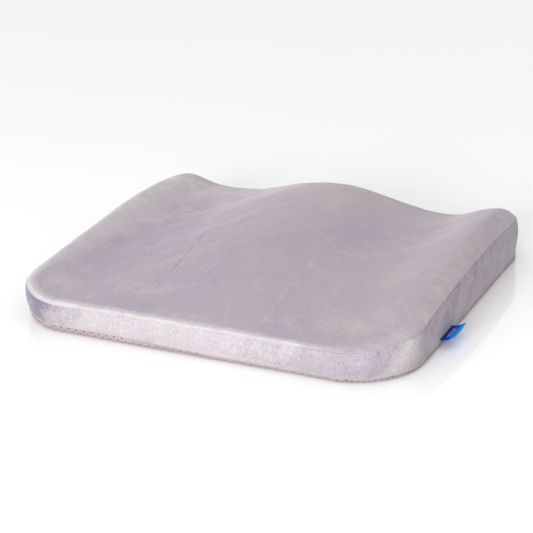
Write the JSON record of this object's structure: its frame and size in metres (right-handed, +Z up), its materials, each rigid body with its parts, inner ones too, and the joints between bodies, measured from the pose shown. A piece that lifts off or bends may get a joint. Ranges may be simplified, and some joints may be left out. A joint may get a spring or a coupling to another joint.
{
  "type": "seat cushion",
  "caption": "Contoured foam seat cushion with a middle ridge and raised sides, in a sewn velour cover with a zip in its thick edge and a dotted grip underside.",
  "frame": {"origin": "middle of the flat underside, on the surface the cushion lies on", "axes": "+Z up, +Y towards the thick contoured edge with the zip, +X towards the side that carries the tag"},
  "size_m": [0.4674, 0.4384, 0.0783],
  "materials": {
    "foam": "open-cell moulded foam, matt",
    "velour": "short-pile velour with a soft sheen",
    "velour_band": "short-pile velour with a soft sheen",
    "grip_fabric": "close-knit fabric with rubbery dots",
    "thread": "spun polyester thread",
    "zip_tape": "woven tape",
    "zip_coil": "satin nylon",
    "zip_metal": "plated, lightly brushed",
    "tag_ribbon": "woven satin ribbon",
    "label": "blank satin ribbon"
  },
  "bodies": {
    "cushion": {"foam_core": "foam", "top_panel": "velour", "band_left": "velour_band", "band_right": "velour_band", "rear_band_upper": "velour_band", "rear_band_lower": "velour_band", "bottom_panel": "grip_fabric", "top_seam_thread": "thread", "bottom_seam_thread": "thread", "front_join_thread": "thread", "rear_join_threads": "thread", "zip_topstitch": "thread", "zip_tape_upper": "zip_tape", "zip_tape_lower": "zip_tape", "zip_coil_upper": "zip_coil", "zip_coil_lower": "zip_coil", "zip_top_stops": "zip_metal", "zip_bottom_stop": "zip_metal", "care_label": "label"},
    "zip_slider": {"zip_slider": "zip_metal"},
    "zip_pull": {"zip_pull": "zip_metal"},
    "side_tag": {"side_tag": "tag_ribbon"}
  },
  "joints": [
    {"name": "zip_slide", "type": "slide", "parent": "cushion", "child": "zip_slider", "axis": [-1, 0, 0], "range_m": [0, 0.31]},
    {"name": "pull_swing", "type": "hinge", "parent": "zip_slider", "child": "zip_pull", "pos_m": [0.155, 0.21855, 0.018], "axis": [0, 0, -1], "range_deg": [0, 175]},
    {"name": "tag_flap", "type": "hinge", "parent": "cushion", "child": "side_tag", "pos_m": [0.2261, -0.078, 0.009], "axis": [0, -1, 0], "range_deg": [-35, 60], "stiffness_Nm_per_rad": 0.0002}
  ]
}
